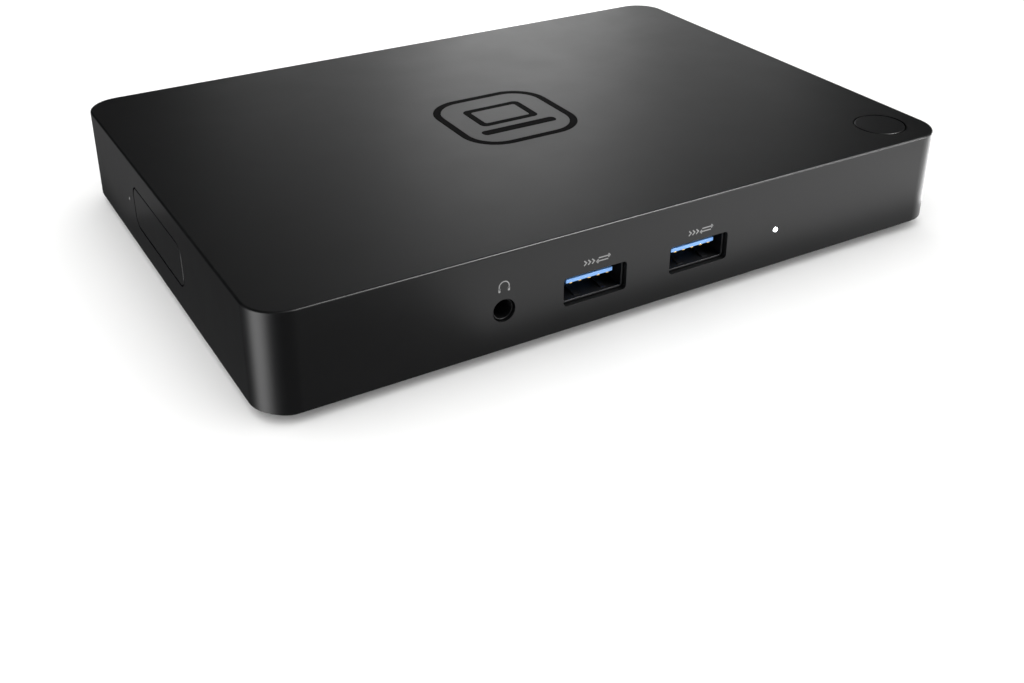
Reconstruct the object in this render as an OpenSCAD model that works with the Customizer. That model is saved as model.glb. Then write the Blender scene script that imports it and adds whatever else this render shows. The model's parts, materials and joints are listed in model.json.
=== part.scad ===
// Laptop docking station: a flat rounded case with data, video, network, audio and power ports.
// Millimetres. +Z is up, -Y is the front, the origin is under the centre of the case on the table.

/* [Case] */
// Width of the case, side to side
body_w = 152; // [150:1:156]
// Depth of the case, front to back
body_d = 107; // [106:1:112]
// Height from the table to the top face
body_h = 21.4; // [21.4:0.1:24]
// Corner radius of the case in plan
corner_r = 7; // [5:0.5:9]
// Thickness of the side walls
wall = 1.8; // [1.6:0.1:2]
// Thickness of the top plate
roof = 1.8; // [1.5:0.1:2]
// Radius of the soft edge round the top face
edge_r = 0.4; // [0.3:0.1:0.8]

/* [Base] */
// Height of the inset base under the case
base_h = 2.1; // [1.8:0.1:2.4]
// How far the base is set in from the case's sides
base_inset = 2.6; // [2.4:0.1:4]
// Height of the rubber ring that the base stands on
foot_h = 0.8; // [0.6:0.1:1]
// Width of the rubber ring
foot_w = 6; // [4:0.5:7]

/* [Power button] */
// Distance of the button's centre from the right side and from the front
button_edge = 9.7; // [9.5:0.1:10]
// Radius of the button's cap
button_r = 5.2; // [4.8:0.1:5.2]

/* [Front ports] */
// Height of the two front data ports
front_z = 9.8; // [9.8:0.1:10]
// Centre of the left front data port
front_x1 = -12.25; // [-13:0.25:-12]
// Centre of the right front data port
front_x2 = 11.3; // [11:0.1:12]
// Centre of the headset jack
headset_x = -31.4; // [-33:0.1:-30]
// Centre of the status light
light_x = 30.5; // [29:0.1:31]

/* [Rear ports] */
// Centre of the wide video port
wide_x = 60.4; // [60:0.1:61]
// Centre of the small video port
small_x = 44.1; // [44:0.1:45]
// Centre of the fifteen-pin video port
dsub_x = 21; // [20:0.1:22]
// Centre of the network jack
network_x = -4.9; // [-5.5:0.1:-4.5]
// Centre of the stacked pair of data ports
stack_x = -22.9; // [-23.4:0.1:-22.4]
// Centre of the rear data port and of the speaker jack over it
rear_x = -46.7; // [-47:0.1:-46]
// Centre of the power jack
power_x = -63.7; // [-64:0.1:-63]

/* [Side cover] */
// Length of the cover over the laptop cable's bay
cover_l = 31.5; // [30:0.5:33]
// Height of that cover
cover_h = 9.3; // [9:0.1:9.6]
// Distance of the cover's middle behind the middle of the case
cover_y = 1.35; // [0:0.05:2]

/* [Hidden] */
$fn = 48;
half_w = body_w / 2;
half_d = body_d / 2;
roof_z = body_h - roof;
lap = 0.01;
fit_gap = 0.3;
button_gap = 0.35;
// heights of the boards
cover_top = base_h + 0.9;
board_t = 1.2;
board_z = cover_top + 0.6;
board_top = board_z + board_t;
small_board_t = 1;
// main chips: place and side length, then the thickness of the chips and of the pads on them
chip_list = [[0, 4, 14], [-24, 8, 9], [24, 6, 9]];
chip_t = 1.2;
pad_t = 0.8;
// a data port: the hole in the case, the metal shell and the space in it
data_cut = [13.7, 5.8];
data_out = [13.2, 5.3];
data_in = [12.5, 4.6];
data_deep = 14;
nose_y = 0.9;
front_board_top = front_z - data_out[1] / 2;
tongue_up = 0.85;
tongue_t = 0.8;
// heights of the rear ports
rear_z = board_top + data_out[1] / 2;
stack_z = [rear_z + 0.08, rear_z + 8.24];
speaker_z = 15.95;
audio_board_top = speaker_z - 2.8;
wide_z = 9.3;
small_z = 9.35;
dsub_z = 10.65;
power_z = 13.15;
headset_z = front_board_top + 2.8;
// video ports: width, height, flat at the bottom and rise of the bevelled corners
wide_cut = [15.25, 5.65, 10.8, 1.9];
small_cut = [8.95, 5.6, 6.2, 1.7];
port_gap = 0.15;
shell_t = 0.35;
video_deep = 12;
// the fifteen-pin port
dsub_cut = [19.1, 9.8];
dsub_out = [16, 7.6];
dsub_pitch = 2.29;
dsub_row = 1.98;
jackscrew_x = 24.99 / 2;
jackscrew_r = 1.42;
// the network jack
net_w = 15.8;
net_z0 = 4.9;
net_z1 = 15.85;
net_deep = 16;
net_light_x = 5.8;
net_light_z = 14.2;
// jacks for 3.5 mm plugs
plug_r = 1.8;
jack_deep = 14;
// screws
boss_xy = [60, 34];
board_xy = [48, 26];
// the button and its switch
button_x = half_w - button_edge;
button_y = -half_d + button_edge;
travel = 0.5;
button_board_z = 14.2;
button_board_top = button_board_z + small_board_t;
plunger_top = button_board_top + 2.2;
stem_gap = 0.02;
button_post_x = 59;
button_post_y = [-48.5, -39.5];
// the side cover and its bay
cover_z = 11.85;
cover_r = 2.7;
cover_t = 1.6;
bay_t = 1;
bay_deep = 13.5;
bay_x0 = -half_w + wall;
// the lock slot
lock_y = 22;
lock_z = 11;
lock_slot = [7, 3];

// ---- outlines ----
function unit(v) = v / norm(v);
// points of the arc that rounds corner b between its neighbours a and c
function fillet(a, b, c, r, n) =
    let (u = unit(a - b), v = unit(c - b), half = acos(u * v) / 2)
    let (mid = b + unit(u + v) * r / sin(half))
    let (p = b + u * r / tan(half) - mid, q = b + v * r / tan(half) - mid)
    let (from = atan2(p[1], p[0]), raw = atan2(q[1], q[0]) - from)
    let (turn = raw > 180 ? raw - 360 : raw < -180 ? raw + 360 : raw)
    [for (i = [0:n]) mid + r * [cos(from + turn * i / n), sin(from + turn * i / n)]];
function rounded(pts, r, n = 4) = let (k = len(pts))
    [for (i = [0:k - 1]) each fillet(pts[(i + k - 1) % k], pts[i], pts[(i + 1) % k], r, n)];
function rect(w, h) = [[-w / 2, -h / 2], [w / 2, -h / 2], [w / 2, h / 2], [-w / 2, h / 2]];
// plan outline of the case, set in by an amount
function plan(inset) =
    rounded(rect(body_w - 2 * inset, body_d - 2 * inset), max(corner_r - inset, 1), 10);
// outline of a video port with bevelled lower corners, set in by t
function bevelled(s, t = 0) =
    let (slope = atan2(s[3], (s[0] - s[2]) / 2), foot = s[2] / 2 - t * tan(slope / 2))
    let (side = s[0] / 2 - t, knee = -s[1] / 2 + s[3] + t * tan(45 - slope / 2))
    [[-foot, t - s[1] / 2], [foot, t - s[1] / 2], [side, knee], [side, s[1] / 2 - t],
        [-side, s[1] / 2 - t], [-side, knee]];
// outline of a fifteen-pin port, wide at the top, set in by t
function dee(s, t = 0) = let (w = s[0] / 2 - t, h = s[1] / 2 - t, lean = 2 * h * tan(10))
    [[lean - w, -h], [w - lean, -h], [w, h], [-w, h]];

// ---- helpers ----
// a box from its lowest corner to its highest
module span(a, b) translate(a) cube(b - a);
// an outline in X and Z, from y0 to y1
module along_y(y0, y1) translate([0, y1, 0]) rotate([90, 0, 0]) linear_extrude(y1 - y0) children();
// an outline in Y and Z, from x0 to x1
module along_x(x0, x1) translate([x0, 0, 0]) rotate([90, 0, 90]) linear_extrude(x1 - x0) children();
// a round bar along Y
module rod_y(r, y0, y1) translate([0, y1, 0]) rotate([90, 0, 0]) cylinder(h = y1 - y0, r = r);
// places on the front and rear faces, where +Y goes into the case
module at_front(x, z) translate([x, -half_d, z]) children();
module at_rear(x, z) translate([x, half_d, z]) rotate([0, 0, 180]) children();
module each_corner(p) for (x = [-p[0], p[0]], y = [-p[1], p[1]]) translate([x, y, 0]) children();
module slab(inset, z0, z1) translate([0, 0, z0]) linear_extrude(z1 - z0) polygon(plan(inset));
// a screw with its head up, the head's underside at z = 0
module screw(head_r, head_h, shaft_r, shaft_l) difference() {
    union() {
        cylinder(h = head_h, r = head_r);
        translate([0, 0, -shaft_l]) cylinder(h = shaft_l + lap, r = shaft_r);
    }
    for (a = [0, 90]) rotate([0, 0, a])
        span([-head_r * 0.6, -0.25, head_h * 0.5], [head_r * 0.6, 0.25, head_h + 1]);
}

// ---- case ----
// the mark on the top: a laptop standing on a dock, in a soft square
module badge_mark() {
    difference() {
        polygon(rounded(rect(27, 27), 8, 10));
        polygon(rounded(rect(23.6, 23.6), 6.3, 10));
    }
    translate([0, 2]) difference() {
        polygon(rounded(rect(14, 10), 1.4));
        polygon(rounded(rect(10.8, 6.8), 0.5));
    }
    translate([0, -6.1]) polygon(rounded(rect(17.8, 2.4), 1));
}
module case_outside() {
    slab(0, base_h, body_h - edge_r);
    steps = 3;
    for (i = [0:steps - 1]) hull() {
        for (a = [90 * i / steps, 90 * (i + 1) / steps])
            translate([0, 0, body_h - edge_r * (1 - sin(a)) - lap])
                linear_extrude(lap) polygon(plan(edge_r * (1 - cos(a))));
    }
}
module port_holes() {
    for (x = [front_x1, front_x2]) at_front(x, front_z) data_hole();
    at_front(headset_x, headset_z) rod_y(2.26, -1, wall + 1);
    at_front(light_x, front_z) rod_y(0.8, -1, wall + 1);
    at_rear(wide_x, wide_z) along_y(-1, wall + 1) polygon(rounded(bevelled(wide_cut), 0.4));
    at_rear(small_x, small_z) along_y(-1, wall + 1) polygon(rounded(bevelled(small_cut), 0.4));
    at_rear(dsub_x, dsub_z) along_y(-1, wall + 1) polygon(rounded(dee(dsub_cut), 2.7, 8));
    for (s = [-1, 1]) at_rear(dsub_x + s * jackscrew_x, dsub_z) rod_y(1.92, -1, wall + 1);
    at_rear(network_x, (net_z0 + net_z1) / 2)
        along_y(-1, wall + 1) polygon(rect(net_w + 0.2, net_z1 - net_z0 + 0.1));
    for (z = stack_z) at_rear(stack_x, z) data_hole();
    at_rear(rear_x, rear_z) data_hole();
    at_rear(rear_x, speaker_z) rod_y(2.2, -1, wall + 1);
    at_rear(power_x, power_z) rod_y(4.2, -1, wall + 1);
}
module data_hole() along_y(-1, wall + 1) polygon(rounded(rect(data_cut[0], data_cut[1]), 0.75));
module cover_outline(grow) translate([cover_y, cover_z])
    polygon(rounded(rect(cover_l + 2 * grow, cover_h + 2 * grow), cover_r + grow, 8));
module top_case() color([0.06, 0.06, 0.065]) difference() {
    union() {
        difference() {
            case_outside();
            slab(wall, base_h - 1, roof_z);
        }
        each_corner(boss_xy) translate([0, 0, cover_top]) cylinder(h = roof_z - cover_top + lap, r = 3.2);
        for (y = button_post_y) translate([button_post_x, y, button_board_top])
            cylinder(h = roof_z - button_board_top + lap, r = 1.8);
        translate([button_x, button_y, roof_z - 2]) cylinder(h = 2 + lap, r = 7.2);
    }
    each_corner(boss_xy) translate([0, 0, cover_top - 1]) cylinder(h = 8, r = 1.2);
    for (y = button_post_y) translate([button_post_x, y, button_board_top - 1]) cylinder(h = 4, r = 0.9);
    translate([button_x, button_y, roof_z - 3]) cylinder(h = 3, r = 6.3);
    translate([button_x, button_y, roof_z - 1]) cylinder(h = roof + 2, r = button_r + button_gap);
    port_holes();
    along_x(-half_w - 1, -half_w + wall + 1) cover_outline(0);
    along_x(half_w - wall - 1, half_w + 1)
        translate([lock_y, lock_z]) polygon(rounded(rect(lock_slot[0], lock_slot[1]), 1));
    translate([0, 0, body_h - 0.3]) linear_extrude(1) badge_mark();
}
module badge() color([0.2, 0.2, 0.22])
    translate([0, 0, body_h - 0.3]) linear_extrude(0.28) badge_mark();
module bottom_cover() color([0.05, 0.05, 0.05]) difference() {
    union() {
        slab(base_inset, foot_h, base_h + lap);
        slab(wall + 0.2, base_h, cover_top);
        each_corner(board_xy) translate([0, 0, cover_top - lap])
            cylinder(h = board_z - cover_top + lap, r = 2.8);
    }
    each_corner(boss_xy) cylinder(h = foot_h + 1.1, r = 3);
    each_corner(boss_xy) cylinder(h = cover_top + 1, r = 1.4);
    each_corner(board_xy) translate([0, 0, foot_h + 0.6]) cylinder(h = 4, r = 1.05);
    for (side = [-1, 1], i = [-5:5]) translate([side * 30 + i * 3.6, -20])
        translate([0, 0, foot_h - 1]) linear_extrude(5) polygon(rounded(rect(1.6, 18), 0.79));
    translate([0, 22, foot_h - 1]) linear_extrude(1.2) polygon(rounded(rect(46, 24), 1.5));
}
module foot_ring() color([0.03, 0.03, 0.03]) difference() {
    slab(base_inset, 0, foot_h);
    slab(base_inset + foot_w, -1, foot_h + 1);
}
module rating_plate() color([0.6, 0.6, 0.62])
    translate([0, 22, foot_h]) linear_extrude(0.2) polygon(rounded(rect(45.4, 23.4), 1.2));
module case_screws() color([0.25, 0.25, 0.27])
    each_corner(boss_xy) translate([0, 0, foot_h + 1.1]) mirror([0, 0, 1]) screw(2.6, 0.9, 1.15, 7);

// ---- power button and its switch ----
module power_button() color([0.09, 0.09, 0.1]) translate([button_x, button_y, 0]) {
    translate([0, 0, roof_z - 0.4]) cylinder(h = roof + 0.4, r = button_r);
    translate([0, 0, roof_z - 0.7]) cylinder(h = 0.6, r = 6);
    translate([0, 0, plunger_top + stem_gap])
        cylinder(h = roof_z - 0.6 - plunger_top - stem_gap, r = 1.6);
}
module switch_plunger() color([0.75, 0.72, 0.65])
    translate([button_x, button_y, plunger_top - 1.5]) cylinder(h = 1.5, r = 1.3);
module switch_body() color([0.12, 0.12, 0.12]) translate([button_x, button_y, button_board_top])
    difference() {
        span([-3, -3, 0], [3, 3, 1.5]);
        translate([0, 0, 0.1]) cylinder(h = 2, r = 1.4);
    }
module button_board() color([0.05, 0.25, 0.12]) difference() {
    translate([65.1, -44.5, button_board_z]) linear_extrude(small_board_t)
        polygon(rounded(rect(17, 13.4), 4.5, 6));
    for (y = button_post_y) translate([button_post_x, y, 10]) cylinder(h = 8, r = 1);
}
module button_board_screws() color([0.7, 0.7, 0.72]) for (y = button_post_y)
    translate([button_post_x, y, button_board_z]) mirror([0, 0, 1]) screw(1.7, 1.1, 0.85, 3.8);
// flat strip from the button's board down to the main board
module button_flex() color([0.85, 0.85, 0.82]) translate([0, -42, 0]) along_y(-2.5, 2.5)
    polygon([[57, 13.9], [55.4, 13.9], [54.4, 12.9], [54.4, board_top + 1.4],
        [54.6, board_top + 1.4], [54.6, 12.8], [55.5, 13.7], [57, 13.7]]);

// ---- side cover, cable bay and laptop socket ----
module cable_cover() color([0.06, 0.06, 0.065]) {
    along_x(-half_w, -half_w + cover_t) cover_outline(-fit_gap);
    for (side = [-1, 1]) translate([0, cover_y + side * (cover_l / 2 - 2.4), cover_z])
        span([-half_w + cover_t - lap, -0.5, -2.5], [-half_w + cover_t + 3, 0.5, 2.5]);
}
module cable_bay() color([0.1, 0.1, 0.11]) difference() {
    along_x(bay_x0, bay_x0 + bay_deep) cover_outline(bay_t + 0.3);
    along_x(bay_x0 - 1, bay_x0 + bay_deep - bay_t) cover_outline(0.3);
    along_x(bay_x0, bay_x0 + bay_deep + 1) translate([cover_y, cover_z])
        polygon(rounded(rect(9.2, 3.5), 1.7));
}
module laptop_socket() color([0.7, 0.7, 0.72]) along_x(bay_x0 + bay_deep - 1.4, bay_x0 + bay_deep + 6)
    translate([cover_y, cover_z]) difference() {
        polygon(rounded(rect(9, 3.3), 1.6, 8));
        polygon(rounded(rect(8.4, 2.7), 1.3, 8));
    }
module laptop_socket_tongue() color([0.1, 0.1, 0.1]) {
    along_x(bay_x0 + bay_deep - 0.8, bay_x0 + bay_deep + 4.1)
        translate([cover_y, cover_z]) polygon(rect(6.6, 0.7));
    along_x(bay_x0 + bay_deep + 4, bay_x0 + bay_deep + 6)
        translate([cover_y, cover_z]) polygon(rounded(rect(8.3, 2.6), 1.2, 6));
}
module lock_bracket() color([0.6, 0.6, 0.62]) difference() {
    span([half_w - wall - 1.2, lock_y - 8, board_top], [half_w - wall, lock_y + 8, 16.5]);
    along_x(half_w - wall - 2, half_w)
        translate([lock_y, lock_z]) polygon(rounded(rect(lock_slot[0], lock_slot[1]), 1));
}

// ---- status light ----
module light_pipe() color([0.92, 0.95, 0.98]) at_front(light_x, front_z) {
    rod_y(0.5, 0.05, 2.4);
    rod_y(1, 2.3, 5);
}
module status_light() color([0.95, 0.95, 0.85]) at_front(light_x, 0)
    span([-0.8, 5.1, front_board_top], [0.8, 6.1, front_z + 0.8]);

// ---- boards and what stands on them ----
module main_board() color([0.05, 0.28, 0.13]) difference() {
    translate([0, 0.2, board_z]) linear_extrude(board_t)
        polygon(rounded(rect(body_w - 2 * wall - 2.4, body_d - 2 * wall - 1.2), 4));
    each_corner(boss_xy) translate([0, 0, 2]) cylinder(h = 4, r = 4);
    each_corner(board_xy) translate([0, 0, 2]) cylinder(h = 4, r = 1.15);
}
module board_screws() color([0.75, 0.75, 0.77])
    each_corner(board_xy) translate([0, 0, board_top]) screw(2.2, 1.4, 1, 3.2);
module front_board() color([0.05, 0.28, 0.13])
    span([-37, -half_d + wall + 0.3, front_board_top - small_board_t], [34, -36.5, front_board_top]);
module audio_board() color([0.05, 0.28, 0.13]) translate([rear_x, 0, audio_board_top])
    span([-8, 36.5, -small_board_t], [7, half_d - wall - 0.3, 0]);
module board_headers() color([0.85, 0.83, 0.75]) {
    for (x = [-20, 20]) span([x - 6, -40, board_top], [x + 6, -37, front_board_top - small_board_t]);
    span([rear_x - 6, 36.8, board_top], [rear_x + 6, 38.8, audio_board_top - small_board_t]);
    span([53, -45.5, board_top], [57, -38.5, board_top + 1.4]);
    span([57, -45, button_board_z - 1.4], [57.2 + 1, -43, button_board_z]);
}
module chips() color([0.08, 0.08, 0.09]) {
    for (c = chip_list) translate([c[0], c[1], board_top])
        span([-c[2] / 2, -c[2] / 2, 0], [c[2] / 2, c[2] / 2, chip_t]);
    for (x = [-36:12:36]) span([x - 2.5, -26, board_top], [x + 2.5, -22, board_top + 1]);
}
module thermal_pads() color([0.55, 0.65, 0.75])
    for (c = chip_list) translate([c[0], c[1], board_top + chip_t])
        span([-c[2] / 2, -c[2] / 2, 0], [c[2] / 2, c[2] / 2, pad_t]);
module heat_spreader() color([0.72, 0.73, 0.75]) translate([0, 6, board_top + chip_t + pad_t]) {
    span([-32, -14, 0], [32, 14, 1.5]);
    for (i = [-7:7]) span([i * 4 - 0.5, -14, 1.5 - lap], [i * 4 + 0.5, 14, 6.5]);
    for (x = [-31, 31], y = [-13, 13]) translate([x, y, -chip_t - pad_t])
        cylinder(h = chip_t + pad_t + lap, r = 1);
}
module inductors() color([0.25, 0.25, 0.27]) for (x = [-50:8:-34])
    translate([x, 32.4, board_top]) linear_extrude(3.2) polygon(rounded(rect(6.4, 6.4), 0.8));
module capacitors() color([0.75, 0.76, 0.78]) for (p = [[-40, -14], [-47, -6], [-40, 2], [44, 2], [51, -6]])
    translate([p[0], p[1], board_top]) cylinder(h = 8, r = 3.1);
module shield_can() color([0.78, 0.78, 0.8]) translate([45, 16, board_top]) difference() {
    span([-8, -5, 0], [8, 5, 2.6]);
    span([-7.7, -4.7, -1], [7.7, 4.7, 2.3]);
}

// ---- data ports ----
module data_shell(y1 = data_deep) difference() {
    along_y(nose_y, y1) polygon(rounded(rect(data_out[0], data_out[1]), 0.6));
    along_y(nose_y - 1, y1 - 0.4) polygon(rounded(rect(data_in[0], data_in[1]), 0.4));
}
module data_tongue() {
    translate([0, 0, tongue_up]) along_y(2, 9.1) polygon(rect(10.1, tongue_t));
    along_y(9, data_deep - 0.4) polygon(rounded(rect(data_in[0] - 0.04, data_in[1] - 0.04), 0.4));
}
// gold strips under the tongue, with a second short row on the fast ports
module data_contacts(fast) {
    under = tongue_up - tongue_t / 2;
    for (i = [-1.5:1.5]) translate([i * 2.3, 0, under]) span([-0.5, 3, -0.12], [0.5, 9, 0]);
    if (fast) for (i = [-2:2]) translate([i * 2, 0, under]) span([-0.3, 2.1, -0.25], [0.3, 2.9, 0]);
}
module front_port_shells() color([0.62, 0.62, 0.64])
    for (x = [front_x1, front_x2]) at_front(x, front_z) data_shell();
module front_port_tongues() color([0.35, 0.6, 0.85])
    for (x = [front_x1, front_x2]) at_front(x, front_z) data_tongue();
module front_port_contacts() color([0.85, 0.68, 0.3])
    for (x = [front_x1, front_x2]) at_front(x, front_z) data_contacts(true);
module rear_port_shell() color([0.62, 0.62, 0.64]) at_rear(rear_x, rear_z) data_shell();
module rear_port_tongue() color([0.1, 0.3, 0.75]) at_rear(rear_x, rear_z) data_tongue();
module rear_port_contacts() color([0.85, 0.68, 0.3]) at_rear(rear_x, rear_z) data_contacts(true);
// one can with two mouths
module stacked_port_shell() color([0.62, 0.62, 0.64]) difference() {
    union() {
        for (z = stack_z) at_rear(stack_x, z)
            along_y(nose_y, wall + 1) polygon(rounded(rect(data_out[0], data_out[1]), 0.6));
        at_rear(stack_x, 0) span([-6.8, wall + 0.05, board_top], [6.8, data_deep + 3, stack_z[1] + 2.8]);
    }
    for (z = stack_z) at_rear(stack_x, z)
        along_y(nose_y - 1, data_deep - 0.4) polygon(rounded(rect(data_in[0], data_in[1]), 0.4));
}
module stacked_port_tongues() color([0.72, 0.72, 0.7]) for (z = stack_z) at_rear(stack_x, z) data_tongue();
module stacked_port_contacts() color([0.85, 0.68, 0.3])
    for (z = stack_z) at_rear(stack_x, z) data_contacts(false);

// ---- video ports ----
module video_shell(s) difference() {
    along_y(nose_y, video_deep) polygon(rounded(bevelled(s, port_gap), 0.35));
    along_y(nose_y - 1, video_deep - 0.4) polygon(rounded(bevelled(s, port_gap + shell_t), 0.2));
}
module video_tongue(s, w, t) {
    along_y(2.4, 8.1) polygon(rect(w, t));
    along_y(8, video_deep - 0.4) polygon(rounded(bevelled(s, port_gap + shell_t + 0.02), 0.2));
}
module video_foot(s, z)
    span([-s[2] / 2, wall + 1, board_top], [s[2] / 2, video_deep, z - s[1] / 2 + port_gap]);
module wide_video_shell() color([0.62, 0.62, 0.64]) at_rear(wide_x, wide_z) video_shell(wide_cut);
module wide_video_tongue() color([0.1, 0.1, 0.1]) at_rear(wide_x, wide_z) video_tongue(wide_cut, 10.2, 0.7);
module small_video_shell() color([0.62, 0.62, 0.64]) at_rear(small_x, small_z) video_shell(small_cut);
module small_video_tongue() color([0.5, 0.5, 0.5]) at_rear(small_x, small_z)
    video_tongue(small_cut, 6.1, 0.75);
// plastic feet that carry the two video ports on the board
module video_feet() color([0.1, 0.1, 0.1]) {
    at_rear(wide_x, 0) video_foot(wide_cut, wide_z);
    at_rear(small_x, 0) video_foot(small_cut, small_z);
}
module video_contacts() color([0.85, 0.68, 0.3]) {
    for (side = [-1, 1]) at_rear(wide_x, wide_z) for (i = [-4.5:4.5])
        translate([i, 0, side * 0.4]) span([-0.2, 3, -0.05], [0.2, 8, 0.05]);
    for (side = [-1, 1]) at_rear(small_x, small_z) for (i = [-4.5:4.5])
        translate([i * 0.55, 0, side * 0.425]) span([-0.14, 3, -0.05], [0.14, 8, 0.05]);
}
// places of the fifteen holes: three rows of five, the middle row half a pitch to one side
module dsub_places() for (row = [-1:1], i = [-2:2])
    translate([(i + (row == 0 ? 0.25 : -0.25)) * dsub_pitch, 0, row * dsub_row]) children();
module dsub_shell() color([0.75, 0.75, 0.77]) at_rear(dsub_x, dsub_z) difference() {
    union() {
        along_y(wall + 0.05, wall + 0.85) polygon(rounded(rect(31, 11.6), 1.5));
        along_y(0.3, wall + 0.5) polygon(rounded(dee(dsub_out), 1.9, 6));
    }
    along_y(-1, wall + 2) polygon(rounded(dee(dsub_out, 0.4), 1.5, 6));
    for (s = [-1, 1]) translate([s * jackscrew_x, 0, 0]) rod_y(1.95, 0, wall + 2);
}
module dsub_insulator() color([0.45, 0.45, 0.45]) at_rear(dsub_x, dsub_z) difference() {
    union() {
        along_y(0.8, wall + 1) polygon(rounded(dee(dsub_out, 0.42), 1.5, 6));
        span([-9.5, wall + 0.9, board_top - dsub_z], [9.5, 11, 5]);
    }
    dsub_places() rod_y(0.49, 0, 7);
}
module dsub_sockets() color([0.85, 0.68, 0.3]) at_rear(dsub_x, dsub_z) dsub_places() difference() {
    rod_y(0.47, 1.4, 6.9);
    rod_y(0.32, 1, 6);
}
module jackscrew_sockets() color([0.78, 0.78, 0.8])
    for (s = [-1, 1]) at_rear(dsub_x + s * jackscrew_x, dsub_z) difference() {
        union() {
            rod_y(1.85, 0.5, 8);
            rod_y(2.4, wall + 0.9, 4.4);
        }
        rod_y(jackscrew_r, -1, 7.4);
    }

// ---- network jack ----
module net_light_place() for (s = [-1, 1]) translate([s * net_light_x, 0, net_light_z]) children();
module network_jack() color([0.35, 0.35, 0.36]) at_rear(network_x, 0) difference() {
    union() {
        span([-net_w / 2, 0.35, net_z0], [net_w / 2, wall + 0.1, net_z1]);
        span([-net_w / 2 + 0.3, wall, net_z0], [net_w / 2 - 0.3, net_deep, net_z1 - 0.3]);
    }
    span([-6.05, -1, 6.4], [6.05, 13, 13]);
    span([-3.4, -1, 12.9], [3.4, 12, 14.5]);
    span([-2.05, -1, 14.4], [2.05, 8, 15.4]);
    net_light_place() span([-1.15, -1, -0.62], [1.15, 6, 0.62]);
}
module network_shield() color([0.7, 0.7, 0.72]) at_rear(network_x, 0) difference() {
    span([-net_w / 2, wall + 0.2, net_z0], [net_w / 2, net_deep + 0.3, net_z1]);
    span([-net_w / 2 + 0.3, -1, net_z0 - 1], [net_w / 2 - 0.3, net_deep, net_z1 - 0.3]);
}
module network_contacts() color([0.85, 0.68, 0.3]) at_rear(network_x, 0) for (i = [-3.5:3.5])
    along_x(i * 1.02 - 0.2, i * 1.02 + 0.2)
        polygon([[2.2, 6.4], [2.7, 6.4], [9, 7.7], [12.9, 7.7], [12.9, 8], [8.9, 8]]);
module network_lights() color([0.75, 0.8, 0.7]) at_rear(network_x, 0)
    net_light_place() span([-1.15, 0.4, -0.62], [1.15, 6, 0.62]);

// ---- audio and power jacks ----
module plug_jack() difference() {
    union() {
        rod_y(2.1, 0.5, wall + 0.2);
        span([-3.2, wall + 0.05, -2.8], [3.2, jack_deep, 2.6]);
    }
    rod_y(plug_r, -1, jack_deep - 1);
}
module headset_jack() color([0.07, 0.07, 0.07]) at_front(headset_x, headset_z) plug_jack();
module speaker_jack() color([0.07, 0.07, 0.07]) at_rear(rear_x, speaker_z) plug_jack();
module power_jack() color([0.05, 0.05, 0.05]) at_rear(power_x, power_z) difference() {
    union() {
        rod_y(4.1, 0.5, wall + 0.2);
        span([-4.9, wall + 0.05, board_top - power_z], [4.9, 12, 4.9]);
    }
    rod_y(3.6, -1, 10);
    rod_y(2.14, 9, 11);
}
module power_jack_sleeve() color([0.5, 0.5, 0.5]) at_rear(power_x, power_z) difference() {
    rod_y(2.14, 1.4, 11);
    rod_y(0.75, 1, 10);
}
module power_jack_pin() color([0.85, 0.68, 0.3]) at_rear(power_x, power_z) rod_y(0.5, 3.5, 10);

top_case();
bottom_cover();
foot_ring();
rating_plate();
case_screws();
badge();
power_button();
switch_plunger();
switch_body();
button_board();
button_board_screws();
button_flex();
cable_cover();
cable_bay();
laptop_socket();
laptop_socket_tongue();
lock_bracket();
light_pipe();
status_light();
main_board();
board_screws();
front_board();
audio_board();
board_headers();
heat_spreader();
thermal_pads();
chips();
inductors();
capacitors();
shield_can();
headset_jack();
front_port_shells();
front_port_tongues();
front_port_contacts();
wide_video_shell();
wide_video_tongue();
small_video_shell();
small_video_tongue();
video_feet();
video_contacts();
dsub_shell();
dsub_insulator();
dsub_sockets();
jackscrew_sockets();
network_jack();
network_shield();
network_contacts();
network_lights();
stacked_port_shell();
stacked_port_tongues();
stacked_port_contacts();
rear_port_shell();
rear_port_tongue();
rear_port_contacts();
speaker_jack();
power_jack();
power_jack_sleeve();
power_jack_pin();
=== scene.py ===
import math

import bmesh
import bpy
from mathutils import Matrix, Vector
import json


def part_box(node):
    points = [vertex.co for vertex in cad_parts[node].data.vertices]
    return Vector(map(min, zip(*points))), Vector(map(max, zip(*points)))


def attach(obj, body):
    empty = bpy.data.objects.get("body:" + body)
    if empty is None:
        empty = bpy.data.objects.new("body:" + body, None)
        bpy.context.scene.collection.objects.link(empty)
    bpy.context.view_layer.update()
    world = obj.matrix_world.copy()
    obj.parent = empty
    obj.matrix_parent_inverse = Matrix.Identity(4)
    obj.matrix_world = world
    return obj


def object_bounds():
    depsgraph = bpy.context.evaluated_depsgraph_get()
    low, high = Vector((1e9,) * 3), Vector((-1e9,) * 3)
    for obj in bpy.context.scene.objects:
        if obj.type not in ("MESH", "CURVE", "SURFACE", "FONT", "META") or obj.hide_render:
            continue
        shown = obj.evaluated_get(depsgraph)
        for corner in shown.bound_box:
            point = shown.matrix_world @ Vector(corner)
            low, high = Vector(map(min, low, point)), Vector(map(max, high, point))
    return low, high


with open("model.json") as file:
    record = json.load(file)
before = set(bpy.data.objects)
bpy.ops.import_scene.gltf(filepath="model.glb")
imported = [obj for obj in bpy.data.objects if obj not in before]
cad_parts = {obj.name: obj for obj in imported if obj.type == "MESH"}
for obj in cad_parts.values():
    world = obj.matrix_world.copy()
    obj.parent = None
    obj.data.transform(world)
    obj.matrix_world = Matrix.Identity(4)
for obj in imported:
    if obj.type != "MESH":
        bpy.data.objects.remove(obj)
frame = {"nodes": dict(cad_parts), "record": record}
cad_box = [list(corner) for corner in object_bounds()]

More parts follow.
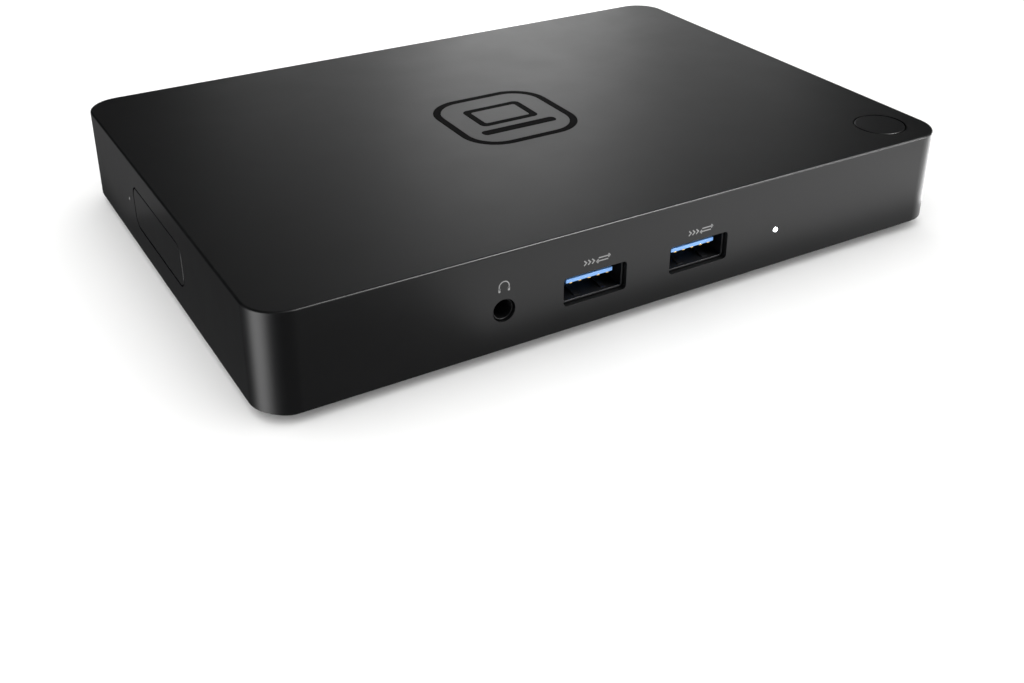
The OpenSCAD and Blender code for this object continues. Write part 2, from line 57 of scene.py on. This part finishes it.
MM = 0.001
LOW, HIGH = (Vector(corner) for corner in cad_box)
FRONT, REAR, LEFT = LOW.y, HIGH.y, LOW.x


# ---------------------------------------------------------------- camera
CAMERA_AZIMUTH = math.radians(-30.68)
CAMERA_ELEVATION = math.radians(26.3)
CAMERA_ROLL = math.radians(0.18)
CAMERA_DISTANCE = 277.2 * MM
CAMERA_RIGHT = 1.6 * MM
CAMERA_UP = -1.95 * MM
CAMERA_LENS = 43.9
CAMERA_SHIFT_Y = -0.1235
SENSOR_MM = 36


def make_camera():
    sin_a, cos_a = math.sin(CAMERA_AZIMUTH), math.cos(CAMERA_AZIMUTH)
    sin_e, cos_e = math.sin(CAMERA_ELEVATION), math.cos(CAMERA_ELEVATION)
    back = Vector((sin_a * cos_e, -cos_a * cos_e, sin_e))
    right = Vector((cos_a, sin_a, 0))
    up = back.cross(right)
    data = bpy.data.cameras.new("camera")
    data.sensor_width = SENSOR_MM
    data.lens = CAMERA_LENS
    data.shift_y = CAMERA_SHIFT_Y
    data.clip_start = 0.01
    data.clip_end = 50
    camera = bpy.data.objects.new("camera", data)
    bpy.context.scene.collection.objects.link(camera)
    turn = Matrix((right, up, back)).transposed().to_4x4()
    place = back * CAMERA_DISTANCE + right * CAMERA_RIGHT + up * CAMERA_UP
    camera.matrix_world = Matrix.Translation(place) @ turn @ Matrix.Rotation(CAMERA_ROLL, 4, "Z")
    bpy.context.scene.camera = camera


# ---------------------------------------------------------------- materials
class Nodes:
    """A material's node tree with a principled shader, and short calls that add to it."""

    def __init__(self, name):
        self.material = bpy.data.materials.new(name)
        self.material.use_nodes = True
        self.tree = self.material.node_tree
        self.shader = self.tree.nodes["Principled BSDF"]
        self.place = self.tree.nodes.new("ShaderNodeTexCoord").outputs["Object"]

    def link(self, source, target):
        self.tree.links.new(source, target)

    def noise(self, scale, detail=2.0, roughness=0.5, stretch=None):
        node = self.tree.nodes.new("ShaderNodeTexNoise")
        node.inputs["Scale"].default_value = scale
        node.inputs["Detail"].default_value = detail
        node.inputs["Roughness"].default_value = roughness
        place = self.place
        if stretch:
            mapping = self.tree.nodes.new("ShaderNodeMapping")
            mapping.inputs["Scale"].default_value = stretch
            self.link(place, mapping.inputs["Vector"])
            place = mapping.outputs["Vector"]
        self.link(place, node.inputs["Vector"])
        return node.outputs["Fac"]

    def spread(self, value, low, high):
        node = self.tree.nodes.new("ShaderNodeMapRange")
        node.inputs["From Min"].default_value = 0.3
        node.inputs["From Max"].default_value = 0.7
        node.inputs["To Min"].default_value = low
        node.inputs["To Max"].default_value = high
        self.link(value, node.inputs["Value"])
        return node.outputs["Result"]

    def colour(self, value, low, high):
        node = self.tree.nodes.new("ShaderNodeValToRGB")
        node.color_ramp.elements[0].position = 0.3
        node.color_ramp.elements[1].position = 0.7
        node.color_ramp.elements[0].color = (*low, 1)
        node.color_ramp.elements[1].color = (*high, 1)
        self.link(value, node.inputs["Fac"])
        self.link(node.outputs["Color"], self.shader.inputs["Base Color"])

    def bump(self, value, strength, depth_mm, onto=None):
        node = self.tree.nodes.new("ShaderNodeBump")
        node.inputs["Strength"].default_value = strength
        node.inputs["Distance"].default_value = depth_mm * MM
        self.link(value, node.inputs["Height"])
        if onto:
            self.link(onto, node.inputs["Normal"])
        return node.outputs["Normal"]

    def set(self, **values):
        for name, value in values.items():
            self.shader.inputs[name.replace("_", " ")].default_value = value


def shades(colour, share):
    """A colour and the same colour a little darker, for a ramp."""
    return [c * (1 - share) for c in colour], [c * (1 + share) for c in colour]


def plastic(name, colour, rough, grain=3200, grain_mm=0.012, share=0.08, specular=0.5, rough_share=0.05):
    """Moulded plastic: fine spark-eroded grain, with slow changes of shade and gloss."""
    m = Nodes(name)
    m.colour(m.noise(45, 3), *shades(colour, share))
    m.link(m.spread(m.noise(90, 4), rough - rough_share, rough + rough_share), m.shader.inputs["Roughness"])
    fine = m.bump(m.noise(grain, 3, 0.6), 0.35, grain_mm)
    m.link(m.bump(m.noise(grain / 4, 2), 0.12, grain_mm, fine), m.shader.inputs["Normal"])
    m.set(Specular_IOR_Level=specular)
    return m.material


def metal(name, colour, rough, stretch=(1, 12, 12), share=0.12):
    """Stamped or drawn metal: streaks along the strip, with small changes of gloss."""
    m = Nodes(name)
    m.colour(m.noise(500, 3, 0.6, stretch), *shades(colour, share))
    gloss = m.spread(m.noise(1400, 3, 0.6, stretch), rough * 0.75, rough * 1.3)
    m.link(gloss, m.shader.inputs["Roughness"])
    m.link(m.bump(m.noise(2600, 2, 0.5, stretch), 0.2, 0.006), m.shader.inputs["Normal"])
    m.set(Metallic=1.0)
    return m.material


def rubber(name, colour):
    m = Nodes(name)
    m.colour(m.noise(60, 4), *shades(colour, 0.2))
    m.link(m.spread(m.noise(150, 4), 0.62, 0.8), m.shader.inputs["Roughness"])
    m.link(m.bump(m.noise(1800, 4, 0.65), 0.5, 0.03), m.shader.inputs["Normal"])
    m.set(Specular_IOR_Level=0.35)
    return m.material


def board(name):
    """Solder mask with pale tracks, from one grid of brick cells."""
    m = Nodes(name)
    cells = m.tree.nodes.new("ShaderNodeTexBrick")
    cells.inputs["Scale"].default_value = 420
    cells.inputs["Color1"].default_value = (0.012, 0.11, 0.045, 1)
    cells.inputs["Color2"].default_value = (0.02, 0.16, 0.065, 1)
    cells.inputs["Mortar"].default_value = (0.04, 0.24, 0.1, 1)
    cells.inputs["Mortar Size"].default_value = 0.08
    m.link(m.place, cells.inputs["Vector"])
    m.link(cells.outputs["Color"], m.shader.inputs["Base Color"])
    m.link(m.spread(m.noise(300, 3), 0.25, 0.4), m.shader.inputs["Roughness"])
    m.link(m.bump(cells.outputs["Fac"], 0.3, 0.03), m.shader.inputs["Normal"])
    return m.material


def glow(name, colour, strength):
    m = Nodes(name)
    m.colour(m.noise(900, 2), *shades(colour, 0.04))
    m.link(m.spread(m.noise(900, 3), 0.2, 0.35), m.shader.inputs["Roughness"])
    m.link(m.bump(m.noise(1500, 2), 0.1, 0.01), m.shader.inputs["Normal"])
    m.set(Emission_Color=(*colour, 1), Emission_Strength=strength)
    return m.material


def make_materials():
    """Materials by the record's slots. The case's colour and specular level are fitted to this light."""
    case = {"specular": 0.16, "rough_share": 0.015}
    return {
        "case_plastic": plastic("case_plastic", (0.0033, 0.0034, 0.0037), 0.38, **case),
        "base_plastic": plastic("base_plastic", (0.004, 0.004, 0.0042), 0.45, specular=0.14,
                                rough_share=0.015),
        "foot_rubber": rubber("foot_rubber", (0.008, 0.008, 0.008)),
        "button_plastic": plastic("button_plastic", (0.0033, 0.0034, 0.0038), 0.36, **case),
        "badge_gloss": plastic("badge_gloss", (0.002, 0.002, 0.0021), 0.3, grain_mm=0.002,
                               specular=0.0015, rough_share=0.02),
        "label_film": plastic("label_film", (0.2, 0.2, 0.205), 0.35, grain=1500, grain_mm=0.006),
        "sign_ink": plastic("sign_ink", (0.19, 0.19, 0.19), 0.5, grain=9000, grain_mm=0.002),
        "screw_steel": metal("screw_steel", (0.09, 0.09, 0.095), 0.35),
        "port_steel": metal("port_steel", (0.02, 0.02, 0.021), 0.4),
        "bright_steel": metal("bright_steel", (0.62, 0.62, 0.63), 0.28),
        "contact_gold": metal("contact_gold", (0.5, 0.32, 0.1), 0.3),
        "port_black": plastic("port_black", (0.003, 0.003, 0.0033), 0.45, specular=0.1),
        "port_grey": plastic("port_grey", (0.045, 0.045, 0.046), 0.45),
        "tongue_pale": plastic("tongue_pale", (0.3, 0.3, 0.29), 0.4),
        "tongue_blue": plastic("tongue_blue", (0.03, 0.27, 0.95), 0.4),
        "tongue_light_blue": plastic("tongue_light_blue", (0.2, 0.46, 0.95), 0.4),
        "light_clear": glow("light_clear", (0.95, 0.97, 1.0), 3.0),
        "board_green": board("board_green"),
        "chip_epoxy": plastic("chip_epoxy", (0.012, 0.012, 0.013), 0.55),
        "pad_grey": rubber("pad_grey", (0.12, 0.16, 0.2)),
        "sink_aluminium": metal("sink_aluminium", (0.6, 0.61, 0.62), 0.4, (12, 1, 12)),
        "can_aluminium": metal("can_aluminium", (0.62, 0.62, 0.64), 0.3, (12, 12, 1)),
        "header_cream": plastic("header_cream", (0.5, 0.46, 0.36), 0.45),
        "flex_film": plastic("flex_film", (0.45, 0.43, 0.38), 0.3, grain_mm=0.004),
    }


# ---------------------------------------------------------------- CAD nodes
EDGES_MM = {"top_case": 0.2, "bottom_cover": 0.2, "foot_ring": 0.3, "power_button": 0.2,
            "cable_cover": 0.2, "cable_bay": 0.1, "rating_plate": 0.04, "badge": 0.03,
            "network_jack": 0.06, "dsub_insulator": 0.06, "jackscrew_sockets": 0.12,
            "power_jack": 0.15, "power_jack_sleeve": 0.12, "headset_jack": 0.12, "speaker_jack": 0.12,
            "front_port_tongues": 0.1, "rear_port_tongue": 0.1, "stacked_port_tongues": 0.1,
            "wide_video_tongue": 0.08, "small_video_tongue": 0.08, "network_lights": 0.06,
            "dsub_shell": 0.1}
EDGE_MM = 0.05
WELD_MM = 0.002
FLAT_ANGLE = math.radians(0.5)
EDGE_ANGLE = math.radians(40)


def dress_nodes(materials):
    """Gives every CAD node its slot's material, softly rounded edges and smooth shading."""
    slots = {part["node"]: part["material_slot"] for part in frame["record"]["subparts"]}
    for name, node in frame["nodes"].items():
        node.data.materials.clear()
        node.data.materials.append(materials[slots[name]])
        weld = node.modifiers.new("weld", "WELD")
        weld.merge_threshold = WELD_MM * MM
        flat = node.modifiers.new("flat_faces", "DECIMATE")
        flat.decimate_type = "DISSOLVE"
        flat.angle_limit = FLAT_ANGLE
        bevel = node.modifiers.new("edges", "BEVEL")
        bevel.width = EDGES_MM.get(name, EDGE_MM) * MM
        bevel.segments = 2
        bevel.limit_method = "ANGLE"
        bevel.angle_limit = EDGE_ANGLE
        bevel.use_clamp_overlap = True
        bevel.face_strength_mode = "FSTR_ALL"
        node.data.polygons.foreach_set("use_smooth", [True] * len(node.data.polygons))
        shading = node.modifiers.new("shading", "WEIGHTED_NORMAL")
        shading.use_face_influence = True


# ---------------------------------------------------------------- pieces beside the CAD nodes
def add_piece(name, mesh, material):
    """Turns a bmesh into a piece that rides on the chassis."""
    bmesh.ops.recalc_face_normals(mesh, faces=mesh.faces)
    data = bpy.data.meshes.new(name)
    mesh.to_mesh(data)
    mesh.free()
    data.materials.append(material)
    piece = bpy.data.objects.new(name, data)
    bpy.context.scene.collection.objects.link(piece)
    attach(piece, "chassis")


# ---------------------------------------------------------------- contact springs
PORT_HALF_MM = (6.23, 2.28)
SPRING_OFF_MIDDLE_MM = 2.9
SPRING_START_MM, SPRING_LENGTH_MM = 1.7, 5.6
SPRING_BOW_MM = 0.3
SPRING_MM = 0.15
SHELL_WALL_MM = 2.3
SHELL_GAP_MM = 0.02
SPRING_STEPS = 8


def port_middles(tongues):
    """Middle across and height of each data port, from the box of the node with its tongues."""
    low, high = (Vector(corner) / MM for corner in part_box(tongues))
    half_w, half_h = PORT_HALF_MM
    ends = [(low.x + half_w, low.z + half_h), (high.x - half_w, high.z - half_h)]
    return ends if (Vector(ends[1]) - Vector(ends[0])).length > 1 else ends[:1]


def spring(mesh, across, height, face, side):
    """A leaf that bows from the shell into a data port."""
    out, wall = (-1, FRONT) if face == "front" else (1, REAR)
    rows = []
    for i in range(SPRING_STEPS + 1):
        t = i / SPRING_STEPS
        bow = SPRING_BOW_MM * math.sin(math.pi * t) ** 2
        half = 0.55 - 0.15 * t
        y = wall - out * (SPRING_START_MM + SPRING_LENGTH_MM * t) * MM
        for lift in (SHELL_GAP_MM, SHELL_GAP_MM + SPRING_MM):
            z = (height + side * (SHELL_WALL_MM - bow - lift)) * MM
            rows.append([mesh.verts.new(((across + s * half) * MM, y, z)) for s in (-1, 1)])
    for i in range(SPRING_STEPS):
        a, b, c, d = rows[2 * i:2 * i + 4]
        for quad in ((a[0], a[1], c[1], c[0]), (b[1], b[0], d[0], d[1]),
                     (a[1], b[1], d[1], c[1]), (b[0], a[0], c[0], d[0])):
            mesh.faces.new(quad)
    for a, b in (rows[:2], rows[-2:]):
        mesh.faces.new((a[0], a[1], b[1], b[0]))


def make_springs(material):
    """Four leaves in each data port, two under the plug's place and two over it."""
    for name, face, tongues in (("front_port_springs", "front", "front_port_tongues"),
                                ("rear_port_springs", "rear", "rear_port_tongue"),
                                ("stacked_port_springs", "rear", "stacked_port_tongues")):
        mesh = bmesh.new()
        for across, height in port_middles(tongues):
            for x in (-SPRING_OFF_MIDDLE_MM, SPRING_OFF_MIDDLE_MM):
                for side in (-1, 1):
                    spring(mesh, across + x, height, face, side)
        add_piece(name, mesh, material)


# ---------------------------------------------------------------- printed signs
INK_MM = 0.24
PROUD_MM = 0.012
SUNK_MM = 0.04


def arc(cx, cy, r, start, end, steps=14):
    """Points of an arc, angles in degrees."""
    turns = [math.radians(start + (end - start) * i / steps) for i in range(steps + 1)]
    return [(cx + r * math.cos(t), cy + r * math.sin(t)) for t in turns]


def soft_rect(cx, cy, w, h, r):
    """Points of a rectangle with rounded corners, anticlockwise."""
    points = []
    for sx, sy, start in ((1, -1, -90), (1, 1, 0), (-1, 1, 90), (-1, -1, 180)):
        points += arc(cx + sx * (w / 2 - r), cy + sy * (h / 2 - r), r, start, start + 90, 4)
    return points


class Sign:
    """A sign printed on one face of the case. It is drawn in mm, across and up as a viewer sees it."""

    def __init__(self, name, face, across, height):
        self.name, self.face, self.across, self.height = name, face, across, height
        self.mesh = bmesh.new()

    def point(self, u, v, lift):
        z = (self.height + v) * MM
        if self.face == "rear":
            return self.mesh.verts.new(((self.across - u) * MM, REAR + lift * MM, z))
        if self.face == "left":
            return self.mesh.verts.new((LEFT - lift * MM, (self.across - u) * MM, z))
        return self.mesh.verts.new(((self.across + u) * MM, FRONT - lift * MM, z))

    def patch(self, outline):
        """A filled shape, from an anticlockwise outline."""
        over = [self.point(u, v, PROUD_MM) for u, v in outline]
        under = [self.point(u, v, -SUNK_MM) for u, v in outline]
        self.mesh.faces.new(over)
        self.mesh.faces.new(under[::-1])
        for i in range(len(outline)):
            j = (i + 1) % len(outline)
            self.mesh.faces.new((over[i], under[i], under[j], over[j]))

    def line(self, points, width=INK_MM, closed=False):
        """A line of even width through the points."""
        count = len(points)
        rows = []
        for i, (u, v) in enumerate(points):
            before = points[i - 1] if closed or i else points[i]
            after = points[(i + 1) % count] if closed or i < count - 1 else points[i]
            sides = []
            for a, b in ((before, points[i]), (points[i], after)):
                step = Vector((b[0] - a[0], b[1] - a[1]))
                if step.length > 1e-9:
                    sides.append(Vector((-step.y, step.x)).normalized())
            middle = (sides[0] + sides[-1]).normalized()
            reach = width / 2 / max(middle.dot(sides[0]), 0.4)
            left = (u + middle.x * reach, v + middle.y * reach)
            right = (u - middle.x * reach, v - middle.y * reach)
            rows.append([self.point(*left, PROUD_MM), self.point(*right, PROUD_MM),
                         self.point(*right, -SUNK_MM), self.point(*left, -SUNK_MM)])
        for i in range(count if closed else count - 1):
            a, b = rows[i], rows[(i + 1) % count]
            for k in range(4):
                m = (k + 1) % 4
                self.mesh.faces.new((a[k], a[m], b[m], b[k]))
        if not closed:
            self.mesh.faces.new(rows[0][::-1])
            self.mesh.faces.new(rows[-1])


def arrow(sign, u0, u1, v, head=0.5):
    """A line from u0 to u1 with an open head at u1."""
    back = head if u1 > u0 else -head
    sign.line([(u0, v), (u1, v)])
    sign.line([(u1 - back, v + head), (u1, v), (u1 - back, v - head)])


def data_sign(name, face, across, height, chevrons):
    """Two arrows that point away from each other, with chevrons before them on a fast port."""
    sign = Sign(name, face, across, height)
    width = 2.9
    pitch = 0.85
    start = -width / 2 + pitch * chevrons / 2
    for i in range(chevrons):
        u = start - pitch * (chevrons - i) - 0.15
        sign.line([(u, 0.5), (u + 0.5, 0), (u, -0.5)])
    arrow(sign, start + 0.4, start + width, 0.32, 0.36)
    arrow(sign, start + width - 0.4, start, -0.32, 0.36)
    return sign


def screen(sign, u, v, w, h, stand=0.0):
    """A screen's outline, with a stand under it where stand says how tall."""
    sign.line(soft_rect(u, v, w, h, 0.2), 0.2, closed=True)
    if stand:
        foot = v - h / 2 - stand
        sign.line([(u, v - h / 2), (u, foot)], 0.2)
        sign.line([(u - w * 0.3, foot), (u + w * 0.3, foot)], 0.2)


def make_signs(material):
    rear, front = "rear", "front"
    signs = []

    sign = Sign("sign_wide_video", rear, 61.1, 14.6)
    screen(sign, -2.1, 0, 1.7, 1.1)
    arrow(sign, -0.9, 0.9, 0, 0.36)
    screen(sign, 2.1, 0, 1.7, 1.1)
    signs.append(sign)

    sign = Sign("sign_small_video", rear, 44.2, 15.0)
    screen(sign, 0, 0.2, 2.3, 1.15, 0.35)
    signs.append(sign)

    sign = Sign("sign_monitor", rear, 21.0, 17.9)
    sign.line(soft_rect(0, 0, 2.1, 1.5, 0.6), 0.24, closed=True)
    for side in (-1, 1):
        sign.line([(side * 1.6, 0.92), (side * 1.6, -0.92)])
    signs.append(sign)

    sign = Sign("sign_network", rear, -4.9, 17.8)
    for u, v in ((0, 0.5), (-0.85, -0.5), (0.85, -0.5)):
        sign.patch(soft_rect(u, v, 0.62, 0.5, 0.08))
    sign.line([(0, 0.3), (0, 0)], 0.16)
    sign.line([(-0.85, -0.3), (-0.85, 0), (0.85, 0), (0.85, -0.3)], 0.16)
    signs.append(sign)

    sign = Sign("sign_stacked_pair", rear, -23.0, 11.5)
    for side in (-1, 1):
        u = side * 8.2
        hook = u - side * 0.9
        if side < 0:
            sign.line([(hook, 4.1), (u, 4.1), (u, -4.1), (hook, -4.1)], 0.2)
        else:
            for way in (-1, 1):
                sign.line([(hook, way * 4.1), (u, way * 4.1), (u, way * 1.1)], 0.2)
    signs.append(sign)

    signs.append(data_sign("sign_stacked_data", rear, -31.3, 11.5, 0))
    signs.append(data_sign("sign_rear_data", rear, -46.7, 11.85, 3))
    signs.append(data_sign("sign_left_front_data", front, -12.0, 14.7, 3))
    signs.append(data_sign("sign_right_front_data", front, 11.5, 14.6, 3))

    sign = Sign("sign_speaker", rear, -51.4, 15.9)
    sign.line(arc(-0.45, 0, 0.85, 40, 320, 24))
    arrow(sign, -0.5, 1.35, 0, 0.4)
    signs.append(sign)

    sign = Sign("sign_power", rear, -63.8, 6.35)
    for side in (-1, 1):
        sign.line([(side * 0.4, 1.4), (side * 0.4, 0.75)], 0.2)
    sign.patch([(-0.85, 0.75), (-0.85, 0.2)] + arc(0, 0.2, 0.85, 180, 360, 12)[1:] + [(0.85, 0.75)])
    sign.line([(0, -0.6), (0, -0.95)] + arc(0.35, -0.95, 0.35, 180, 270, 6)[1:], 0.2)
    signs.append(sign)

    sign = Sign("sign_headset", front, -31.4, 14.75)
    sign.line(arc(0, 0, 1.0, -35, 215, 24), 0.2)
    for side in (-1, 1):
        sign.patch(soft_rect(side * 0.95, -0.62, 0.42, 0.8, 0.15))
    signs.append(sign)

    sign = Sign("sign_cover", "left", 20.8, 11.6)
    sign.patch([(-0.3, -0.4), (0.4, 0), (-0.3, 0.4)])
    signs.append(sign)

    for sign in signs:
        add_piece(sign.name, sign.mesh, material)


# ---------------------------------------------------------------- floor and light
def material_floor():
    m = Nodes("floor")
    m.colour(m.noise(2, 2), (0.86, 0.86, 0.855), (0.88, 0.88, 0.875))
    m.set(Roughness=0.3, Specular_IOR_Level=0.3)
    return m.material


def make_floor():
    """A pale floor. The world and the lit patches stand in for what glossy surfaces would mirror of it."""
    reach = 3.0
    corners = [(x * reach, y * reach, 0) for x, y in ((-1, -1), (1, -1), (1, 1), (-1, 1))]
    mesh = bpy.data.meshes.new("floor")
    mesh.from_pydata(corners, [], [(0, 1, 2, 3)])
    floor = bpy.data.objects.new("floor", mesh)
    bpy.context.scene.collection.objects.link(floor)
    mesh.materials.append(material_floor())
    floor.visible_glossy = False


def area_light(name, size, power):
    data = bpy.data.lights.new(name, "AREA")
    data.shape = "RECTANGLE"
    data.size, data.size_y = size
    data.energy = power
    light = bpy.data.objects.new(name, data)
    bpy.context.scene.collection.objects.link(light)
    return light


def soft_box(name, azimuth, elevation, distance, size, power, sheen_only=False):
    """A rectangular light that faces the object. Azimuth is from +Y towards +X, in degrees."""
    light = area_light(name, size, power)
    flat = distance * math.cos(math.radians(elevation))
    place = Vector((flat * math.sin(math.radians(azimuth)), flat * math.cos(math.radians(azimuth)),
                    distance * math.sin(math.radians(elevation))))
    light.location = place
    light.rotation_euler = (Vector((0, 0, 0.01)) - place).to_track_quat("-Z", "Y").to_euler()
    light.visible_diffuse = not sheen_only


def floor_patch(name, x, y, size, power):
    """A lit part of the floor that only glossy surfaces mirror, in mm. It faces up."""
    light = area_light(name, [side * MM for side in size], power)
    light.location = (x * MM, y * MM, 0.5 * MM)
    light.rotation_euler = (math.pi, 0, 0)
    light.visible_diffuse = False
    light.visible_camera = False


# The room's light on matte surfaces, and the walls and floor as glossy surfaces mirror them.
# MIRRORED_FLOOR gives the floor by a direction's X: (X, radiance). It fades out behind the object's
# left side, as Y - X of the direction goes through FADES_FROM_TO.
ROOM = 1.55
WALLS = 0.01
FADES_FROM_TO = (1.0, 1.3)
MIRRORED_FLOOR = [(-1.0, 13.0), (-0.84, 13.0), (-0.76, 0.3), (-0.6, 0.0), (-0.15, 0.12),
                  (0.3, 0.18), (0.4, 0.4), (0.55, 0.6), (0.72, 0.4), (0.87, 1.6), (1.0, 1.6)]


def make_world():
    world = bpy.data.worlds.new("studio")
    bpy.context.scene.world = world
    world.use_nodes = True
    tree = world.node_tree

    def math_node(operation, *values):
        node = tree.nodes.new("ShaderNodeMath")
        node.operation = operation
        for socket, value in zip(node.inputs, values):
            if isinstance(value, bpy.types.NodeSocket):
                tree.links.new(value, socket)
            else:
                socket.default_value = value
        return node.outputs[0]

    way = tree.nodes.new("ShaderNodeSeparateXYZ")
    tree.links.new(tree.nodes.new("ShaderNodeTexCoord").outputs["Generated"], way.inputs["Vector"])
    most = max(value for _, value in MIRRORED_FLOOR)
    ramp = tree.nodes.new("ShaderNodeValToRGB")
    stops = ramp.color_ramp.elements
    while len(stops) < len(MIRRORED_FLOOR):
        stops.new(0.5)
    for stop, (x, value) in zip(stops, MIRRORED_FLOOR):
        stop.position = (x + 1) / 2
        stop.color = (*(value / most,) * 3, 1)
    tree.links.new(math_node("MULTIPLY_ADD", way.outputs["X"], 0.5, 0.5), ramp.inputs["Fac"])
    floor_light = math_node("MULTIPLY", ramp.outputs["Color"], most)
    below = math_node("LESS_THAN", way.outputs["Z"], 0.0)
    behind = tree.nodes.new("ShaderNodeMapRange")
    behind.inputs["From Min"].default_value, behind.inputs["From Max"].default_value = FADES_FROM_TO
    behind.inputs["To Min"].default_value = 1.0
    behind.inputs["To Max"].default_value = 0.0
    tree.links.new(math_node("SUBTRACT", way.outputs["Y"], way.outputs["X"]), behind.inputs["Value"])
    floor_light = math_node("MULTIPLY", floor_light, behind.outputs["Result"])
    mirrored = math_node("ADD", math_node("MULTIPLY", floor_light, below), WALLS)
    glossy = tree.nodes.new("ShaderNodeLightPath").outputs["Is Glossy Ray"]
    matte = math_node("MULTIPLY", math_node("SUBTRACT", 1.0, glossy), ROOM)
    light = math_node("ADD", matte, math_node("MULTIPLY", mirrored, glossy))
    tree.nodes["Background"].inputs["Color"].default_value = (1, 1, 1, 1)
    tree.links.new(light, tree.nodes["Background"].inputs["Strength"])


def make_lights():
    for name, azimuth, elevation, power in (("back_box", 31, 14, 0.39), ("back_box_high", 31, 24, 0.14),
                                            ("back_box_right", 44, 14, 0.13),
                                            ("back_box_left", 18, 14, 0.125)):
        soft_box(name, azimuth, elevation, 0.8, (0.17, 0.12), power)
    soft_box("front_box", 130, 7, 0.7, (0.16, 0.12), 6.2, sheen_only=True)
    floor_patch("left_patch", -122, 95, (84, 120), 0.0065)
    floor_patch("right_patch", 118, -24, (70, 70), 0.075)
    floor_patch("front_patch", 44, -102, (150, 78), 0.095)
    soft_box("edge_box", 134, 50, 0.8, (0.3, 0.2), 24.0, sheen_only=True)


bpy.context.scene.view_settings.view_transform = "Standard"
make_camera()
MATERIALS = make_materials()
dress_nodes(MATERIALS)
make_springs(MATERIALS["port_steel"])
make_signs(MATERIALS["sign_ink"])
make_floor()
make_world()
make_lights()
